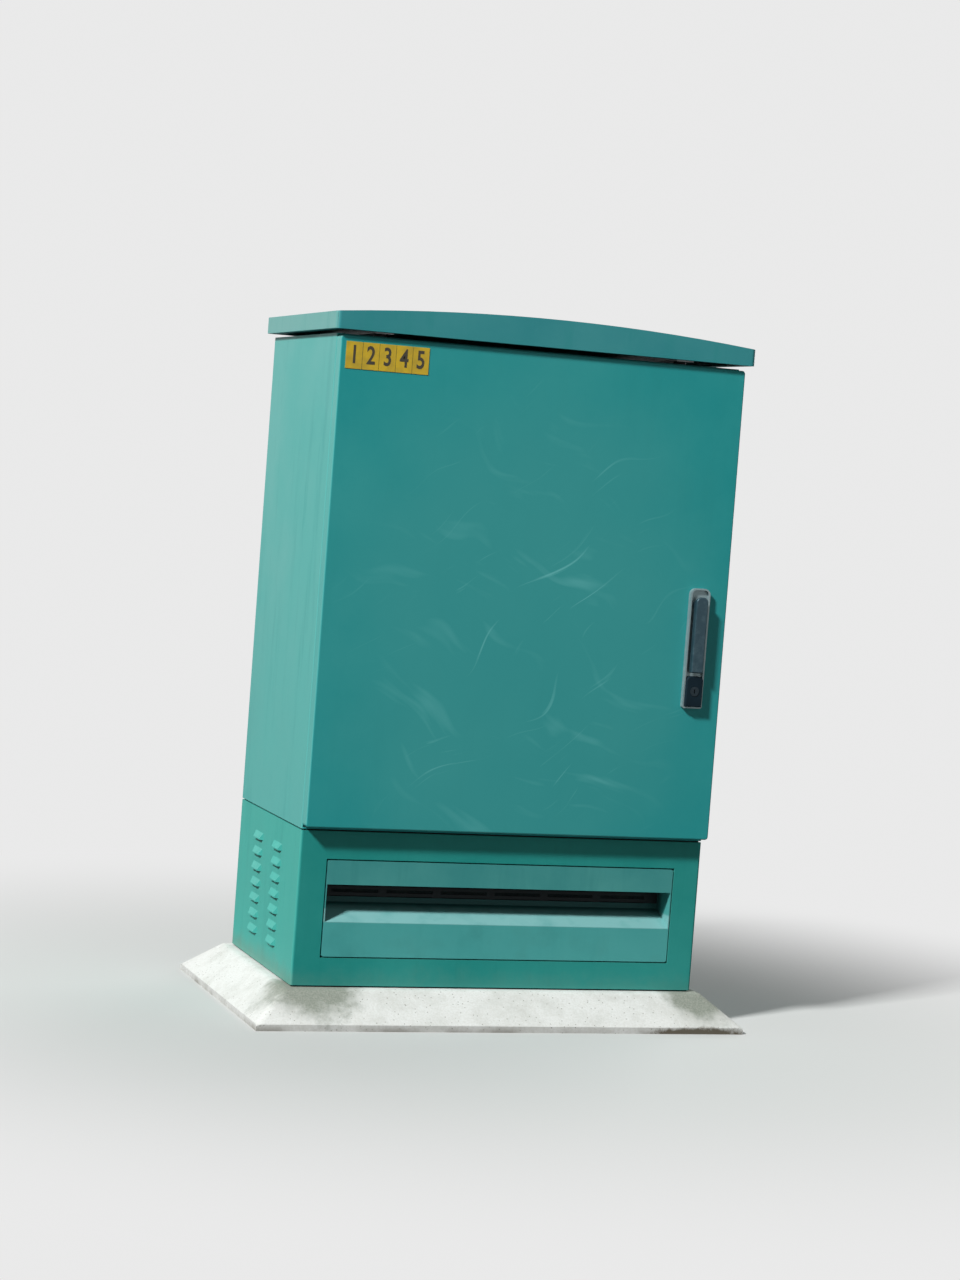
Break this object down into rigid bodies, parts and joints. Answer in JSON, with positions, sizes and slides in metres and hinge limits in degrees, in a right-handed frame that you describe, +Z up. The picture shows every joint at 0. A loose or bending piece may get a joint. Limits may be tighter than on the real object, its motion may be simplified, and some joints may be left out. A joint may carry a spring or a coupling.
{
  "type": "roadside utility cabinet",
  "caption": "Free-standing sheet-steel street cabinet with an arched roof, a hinged front door with swing handle, a louvred base and a sloped concrete plinth.",
  "frame": {"origin": "middle of the plinth's underside, at ground level", "axes": "+X towards the handle side seen from the front, +Y from the door towards the back, +Z up"},
  "size_m": [0.962, 0.599, 1.3239],
  "materials": {
    "cabinet_paint": "semi-gloss powder coat, sun-faded",
    "cover_paint": "faded powder coat",
    "concrete": "pale mottled cast concrete",
    "zinc": "zinc-plated steel",
    "aluminium_sheet": "satin",
    "seal_rubber": "matt foam rubber",
    "handle_zinc": "grey die casting, worn",
    "lock_metal": "dull plated brass",
    "tile_plastic": "enamelled number tiles, yellow",
    "black_plastic": "matt moulded plastic",
    "grey_plastic": "matt moulded plastic",
    "pale_plastic": "matt moulded plastic",
    "red_plastic": "gloss moulded plastic",
    "dark_steel": "textured powder coat",
    "brass_bar": "bare"
  },
  "bodies": {
    "cabinet": {"plinth": "concrete", "base_bed": "seal_rubber", "anchor_bolts": "zinc", "base_shell": "cabinet_paint", "louvre_cover": "cover_paint", "vent_screen": "dark_steel", "cover_screws": "zinc", "body_seal": "seal_rubber", "body_shell": "cabinet_paint", "body_bolts": "zinc", "gland_plate": "zinc", "cable_glands": "black_plastic", "gland_nuts": "black_plastic", "roof": "cabinet_paint", "roof_rails": "zinc", "roof_spacers": "black_plastic", "roof_bolts": "zinc", "hinge_brackets": "zinc", "hinge_pins": "zinc", "rod_keepers": "zinc", "rack_post_left": "zinc", "rack_post_right": "zinc", "terminal_frame": "zinc", "terminal_blocks": "pale_plastic", "din_rail": "zinc", "main_switch": "grey_plastic", "breaker_1": "pale_plastic", "breaker_2": "pale_plastic", "breaker_3": "pale_plastic", "fan_panel": "aluminium_sheet", "equipment_case": "dark_steel", "panel_screws": "zinc", "earth_insulators": "red_plastic", "earth_bar": "brass_bar", "earth_screws": "zinc", "cable_duct": "grey_plastic"},
    "door": {"door_shell": "cabinet_paint", "door_hinges": "zinc", "door_stiffener_left": "cabinet_paint", "door_stiffener_right": "cabinet_paint", "door_seal": "seal_rubber", "handle_dish": "handle_zinc", "lock_housing": "black_plastic", "latch_case": "zinc", "rod_guides": "black_plastic", "document_pocket": "grey_plastic", "number_tiles": "tile_plastic"},
    "handle": {"handle_rotor": "handle_zinc", "latch_pinion": "zinc", "lever_pin": "zinc"},
    "lever": {"swing_lever": "handle_zinc"},
    "upper_latch": {"upper_rod": "zinc"},
    "lower_latch": {"lower_rod": "zinc"},
    "lock": {"lock_core": "lock_metal"},
    "switch_knob": {"main_switch_knob": "red_plastic"},
    "toggle_1": {"breaker_toggle_1": "black_plastic"},
    "toggle_2": {"breaker_toggle_2": "black_plastic"},
    "toggle_3": {"breaker_toggle_3": "black_plastic"},
    "left_fan": {"fan_rotor_left": "black_plastic"},
    "right_fan": {"fan_rotor_right": "black_plastic"}
  },
  "joints": [
    {"name": "door_swing", "type": "hinge", "parent": "cabinet", "child": "door", "pos_m": [-0.386, -0.234, 0.8135], "axis": [0, 0, -1], "range_deg": [0, 110]},
    {"name": "handle_turn", "type": "hinge", "parent": "door", "child": "handle", "pos_m": [0.34, -0.2505, 0.812], "axis": [0, 1, 0], "range_deg": [0, 90]},
    {"name": "lever_lift", "type": "hinge", "parent": "handle", "child": "lever", "pos_m": [0.34, -0.262, 0.812], "axis": [-1, 0, 0], "range_deg": [0, 30]},
    {"name": "upper_rod_slide", "type": "slide", "parent": "door", "child": "upper_latch", "axis": [0, 0, -1], "range_m": [0, 0.019]},
    {"name": "lower_rod_slide", "type": "slide", "parent": "door", "child": "lower_latch", "axis": [0, 0, 1], "range_m": [0, 0.019]},
    {"name": "lock_turn", "type": "hinge", "parent": "door", "child": "lock", "pos_m": [0.34, -0.2505, 0.65], "axis": [0, 1, 0], "range_deg": [0, 90]},
    {"name": "main_switch_turn", "type": "hinge", "parent": "cabinet", "child": "switch_knob", "pos_m": [-0.12, -0.1875, 0.80228], "axis": [0, 1, 0], "range_deg": [0, 90]},
    {"name": "breaker_1_throw", "type": "hinge", "parent": "cabinet", "child": "toggle_1", "pos_m": [-0.0654, -0.184, 0.80228], "axis": [1, 0, 0], "range_deg": [0, 80]},
    {"name": "breaker_2_throw", "type": "hinge", "parent": "cabinet", "child": "toggle_2", "pos_m": [-0.0474, -0.184, 0.80228], "axis": [1, 0, 0], "range_deg": [0, 80]},
    {"name": "breaker_3_throw", "type": "hinge", "parent": "cabinet", "child": "toggle_3", "pos_m": [-0.0294, -0.184, 0.80228], "axis": [1, 0, 0], "range_deg": [0, 80]},
    {"name": "left_fan_spin", "type": "hinge", "parent": "cabinet", "child": "left_fan", "pos_m": [-0.11, -0.1, 0.93563], "axis": [0, 1, 0], "continuous": true},
    {"name": "right_fan_spin", "type": "hinge", "parent": "cabinet", "child": "right_fan", "pos_m": [0.11, -0.1, 0.93563], "axis": [0, 1, 0], "continuous": true}
  ],
  "couplings": [
    {"joint": "upper_rod_slide", "follows": "handle_turn", "m_per_rad": 0.012},
    {"joint": "lower_rod_slide", "follows": "handle_turn", "m_per_rad": 0.012}
  ]
}
